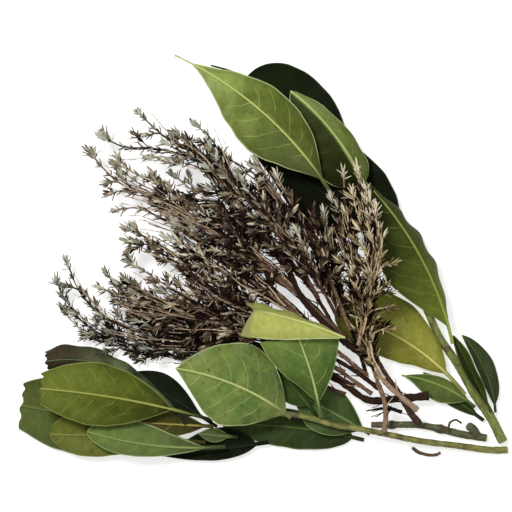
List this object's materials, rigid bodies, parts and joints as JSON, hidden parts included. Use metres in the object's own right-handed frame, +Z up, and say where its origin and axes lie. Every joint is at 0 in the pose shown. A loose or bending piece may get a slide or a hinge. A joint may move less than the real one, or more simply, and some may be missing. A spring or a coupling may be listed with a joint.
{
  "type": "bouquet garni",
  "caption": "Bouquet garni lying flat: sprigs of fresh bay leaves around a fanned bunch of dried thyme, stems together at one end.",
  "frame": {"origin": "middle of the bunch's footprint, on the surface it lies on", "axes": "+X towards the cut ends of the stems, +Y towards the upper bay sprig, +Z up from the surface"},
  "size_m": [0.2362, 0.1932, 0.0376],
  "materials": {
    "bay_leaf": "waxy green bay leaf, yellow-green midrib, satin",
    "bay_leaf_dark": "dark green bay leaf, satin",
    "bay_leaf_olive": "olive bay leaf going yellow, satin",
    "bay_leaf_pale": "pale sage underside of a bay leaf, matte",
    "bay_stem": "green-brown young bark, satin",
    "dry_stalk": "dry brown stalk, matte",
    "dried_thyme": "dry woody thyme with grey-green leaves, matte"
  },
  "bodies": {
    "root": {"upper_leaf_large": "bay_leaf", "upper_leaf_right": "bay_leaf", "upper_leaf_low": "bay_leaf", "lower_leaf_large": "bay_leaf", "lower_leaf_broad": "bay_leaf", "lower_leaf_cut": "bay_leaf", "upper_leaf_folded": "bay_leaf", "upper_leaf_back": "bay_leaf_dark", "upper_leaf_shaded": "bay_leaf_dark", "upper_leaf_outer": "bay_leaf_dark", "upper_leaf_small": "bay_leaf_dark", "upper_leaf_edge": "bay_leaf_dark", "lower_leaf_curled": "bay_leaf_dark", "lower_leaf_dark": "bay_leaf_dark", "lower_leaf_shaded": "bay_leaf_dark", "lower_leaf_right": "bay_leaf_dark", "lower_leaf_under": "bay_leaf_dark", "lower_leaf_bottom": "bay_leaf_dark", "upper_leaf_olive": "bay_leaf_olive", "upper_leaf_upright": "bay_leaf_olive", "lower_leaf_spotted": "bay_leaf_olive", "lower_leaf_small": "bay_leaf_olive", "lower_leaf_grey": "bay_leaf_pale", "lower_leaf_sage": "bay_leaf_pale", "lower_leaf_strip": "bay_leaf_pale", "loose_leaf_folded": "bay_leaf_pale", "upper_stem": "bay_stem", "lower_stem": "bay_stem", "bare_stem": "bay_stem", "dry_curl": "dry_stalk", "dry_stalk": "dry_stalk", "thyme_sprig_01": "dried_thyme", "thyme_sprig_02": "dried_thyme", "thyme_sprig_03": "dried_thyme", "thyme_sprig_04": "dried_thyme", "thyme_sprig_05": "dried_thyme", "thyme_sprig_06": "dried_thyme", "thyme_sprig_07": "dried_thyme", "thyme_sprig_08": "dried_thyme", "thyme_sprig_09": "dried_thyme", "thyme_sprig_10": "dried_thyme", "thyme_sprig_11": "dried_thyme", "thyme_sprig_12": "dried_thyme", "thyme_sprig_13": "dried_thyme", "thyme_sprig_14": "dried_thyme", "thyme_sprig_15": "dried_thyme", "thyme_sprig_16": "dried_thyme", "thyme_sprig_17": "dried_thyme", "thyme_sprig_18": "dried_thyme", "thyme_sprig_19": "dried_thyme", "thyme_sprig_20": "dried_thyme", "thyme_sprig_21": "dried_thyme"}
  },
  "joints": []
}
